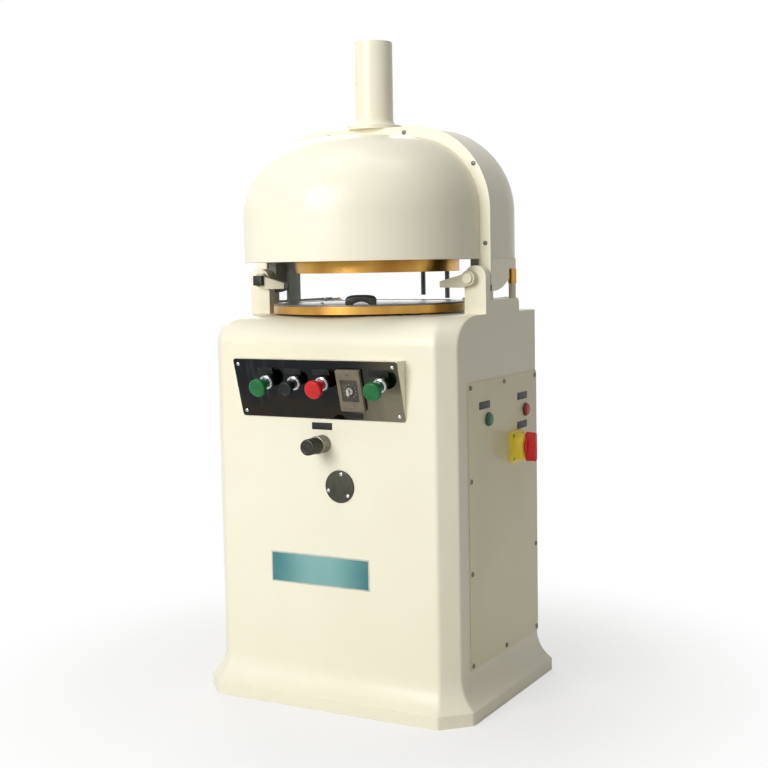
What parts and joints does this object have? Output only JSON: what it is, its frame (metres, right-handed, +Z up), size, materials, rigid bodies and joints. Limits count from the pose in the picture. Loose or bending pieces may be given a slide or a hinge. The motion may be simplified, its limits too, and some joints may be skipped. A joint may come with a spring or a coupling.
{
  "type": "dough divider rounder",
  "caption": "Free-standing dough divider rounder: cast cabinet with a control console, an orbiting round table and a domed press head with knives that tilts back.",
  "frame": {"origin": "on the floor, under the axis of the table drive and the middle of the cabinet's plan", "axes": "+Z up, +X to the side with the service cover, the operator stands at -Y"},
  "size_m": [0.6853, 0.589, 1.448],
  "materials": {
    "cream_paint": "gloss",
    "bare_steel": "satin",
    "brass": "polished",
    "mirror_panel": "mirror",
    "black_plastic": "matt",
    "green_plastic": "gloss",
    "red_plastic": "gloss",
    "yellow_plastic": "gloss",
    "beige_plastic": "matt",
    "grey_plastic": "matt",
    "olive_metal": "satin",
    "grey_iron": "as cast",
    "dark_paint": "satin",
    "rubber": "matt",
    "motor_paint": "satin",
    "aluminium": "satin"
  },
  "bodies": {
    "root": {"cabinet": "cream_paint", "base_plate": "dark_paint", "right_cover": "cream_paint", "rear_panel": "cream_paint", "cover_screws": "bare_steel", "cable_gland": "black_plastic", "upright_right": "cream_paint", "upright_left": "cream_paint", "hinge_straps": "cream_paint", "hinge_bushes": "brass", "console_box": "cream_paint", "panel_plate": "mirror_panel", "button_collars": "black_plastic", "timer_case": "beige_plastic", "adjuster_collar": "olive_metal", "inspection_disc": "olive_metal", "side_bezels": "black_plastic", "isolator_base": "yellow_plastic", "bearing_housing": "grey_iron", "shaft_bearings": "bare_steel", "drive_belt": "rubber", "drive_motor": "motor_paint", "motor_bracket": "grey_iron", "oil_tank": "dark_paint", "tank_lid": "dark_paint", "pump_motor": "motor_paint", "valve_block": "aluminium"},
    "head": {"head_frame": "grey_iron", "front_dome": "cream_paint", "rear_hood": "cream_paint", "top_tube": "cream_paint", "press_cylinder": "dark_paint", "feeler_rods": "dark_paint", "hinge_arms": "bare_steel"},
    "ring": {"chamber_ring": "brass"},
    "press": {"ram": "bare_steel", "press_plates": "aluminium"},
    "knives": {"knife_grid": "bare_steel"},
    "crank": {"crank_shaft": "bare_steel", "counterweight": "grey_iron", "drive_pulley": "grey_iron"},
    "table": {"rounding_table": "brass", "moulding_plate": "aluminium", "plate_handle": "black_plastic", "plate_pins": "bare_steel"},
    "idler_rear": {"idler_crank_rear": "bare_steel"},
    "idler_left": {"idler_crank_left": "bare_steel"},
    "idler_right": {"idler_crank_right": "bare_steel"},
    "motor_rotor": {"motor_pulley": "grey_iron"},
    "right_claw": {"claw_right": "cream_paint"},
    "left_claw": {"claw_left": "cream_paint"},
    "green_left": {"green_button_left": "green_plastic"},
    "black_push": {"black_button": "black_plastic"},
    "red_push": {"red_button": "red_plastic"},
    "green_right": {"green_button_right": "green_plastic"},
    "timer_dial": {"timer_knob": "grey_plastic"},
    "adjuster": {"adjuster_knob": "olive_metal"},
    "side_green": {"side_green_button": "green_plastic"},
    "side_red": {"side_red_button": "red_plastic"},
    "isolator": {"isolator_handle": "red_plastic"}
  },
  "joints": [
    {"name": "head_tilt", "type": "hinge", "parent": "root", "child": "head", "pos_m": [0, 0.205, 0.862], "axis": [-1, 0, 0], "range_deg": [0, 45]},
    {"name": "ring_drop", "type": "slide", "parent": "head", "child": "ring", "axis": [0, 0, -1], "range_m": [0, 0.066]},
    {"name": "press_drop", "type": "slide", "parent": "head", "child": "press", "axis": [0, 0, -1], "range_m": [0, 0.065]},
    {"name": "knife_drop", "type": "slide", "parent": "head", "child": "knives", "axis": [0, 0, -1], "range_m": [0, 0.07]},
    {"name": "crank_spin", "type": "hinge", "parent": "root", "child": "crank", "pos_m": [0, 0, 0.7], "axis": [0, 0, 1], "continuous": true},
    {"name": "table_orbit", "type": "hinge", "parent": "crank", "child": "table", "pos_m": [-0.018, 0, 0.858], "axis": [0, 0, 1], "continuous": true},
    {"name": "idler_rear_spin", "type": "hinge", "parent": "root", "child": "idler_rear", "pos_m": [0, 0.15, 0.83], "axis": [0, 0, 1], "continuous": true},
    {"name": "idler_left_spin", "type": "hinge", "parent": "root", "child": "idler_left", "pos_m": [-0.1299, -0.075, 0.83], "axis": [0, 0, 1], "continuous": true},
    {"name": "idler_right_spin", "type": "hinge", "parent": "root", "child": "idler_right", "pos_m": [0.1299, -0.075, 0.83], "axis": [0, 0, 1], "continuous": true},
    {"name": "motor_spin", "type": "hinge", "parent": "root", "child": "motor_rotor", "pos_m": [-0.19, 0.06, 0.6], "axis": [0, 0, 1], "continuous": true},
    {"name": "claw_right_swing", "type": "hinge", "parent": "root", "child": "right_claw", "pos_m": [0.265, -0.074, 0.923], "axis": [0, 1, 0], "range_deg": [0, 35]},
    {"name": "claw_left_swing", "type": "hinge", "parent": "root", "child": "left_claw", "pos_m": [-0.265, -0.074, 0.923], "axis": [0, -1, 0], "range_deg": [0, 35]},
    {"name": "green_left_press", "type": "slide", "parent": "root", "child": "green_left", "axis": [0, 0.9621, 0.2727], "range_m": [0, 0.005], "stiffness_N_per_m": 800},
    {"name": "black_press", "type": "slide", "parent": "root", "child": "black_push", "axis": [0, 0.9621, 0.2727], "range_m": [0, 0.005], "stiffness_N_per_m": 800},
    {"name": "red_press", "type": "slide", "parent": "root", "child": "red_push", "axis": [0, 0.9621, 0.2727], "range_m": [0, 0.005], "stiffness_N_per_m": 800},
    {"name": "green_right_press", "type": "slide", "parent": "root", "child": "green_right", "axis": [0, 0.9621, 0.2727], "range_m": [0, 0.005], "stiffness_N_per_m": 800},
    {"name": "timer_turn", "type": "hinge", "parent": "root", "child": "timer_dial", "pos_m": [0.08, -0.26055, 0.69642], "axis": [0, -0.9621, -0.2727], "range_deg": [-150, 150]},
    {"name": "adjuster_turn", "type": "hinge", "parent": "root", "child": "adjuster", "pos_m": [-0.005, -0.242, 0.576], "axis": [0, -1, 0], "range_deg": [-360, 360]},
    {"name": "side_green_press", "type": "slide", "parent": "root", "child": "side_green", "axis": [-1, 0, 0], "range_m": [0, 0.004], "stiffness_N_per_m": 800},
    {"name": "side_red_press", "type": "slide", "parent": "root", "child": "side_red", "axis": [-1, 0, 0], "range_m": [0, 0.004], "stiffness_N_per_m": 800},
    {"name": "isolator_turn", "type": "hinge", "parent": "root", "child": "isolator", "pos_m": [0.302, 0.078, 0.546], "axis": [1, 0, 0], "range_deg": [0, 90]}
  ],
  "couplings": [
    {"joint": "table_orbit", "follows": "crank_spin", "ratio": -1},
    {"joint": "idler_rear_spin", "follows": "crank_spin", "ratio": 1},
    {"joint": "idler_left_spin", "follows": "crank_spin", "ratio": 1},
    {"joint": "idler_right_spin", "follows": "crank_spin", "ratio": 1},
    {"joint": "motor_spin", "follows": "crank_spin", "ratio": 3}
  ]
}
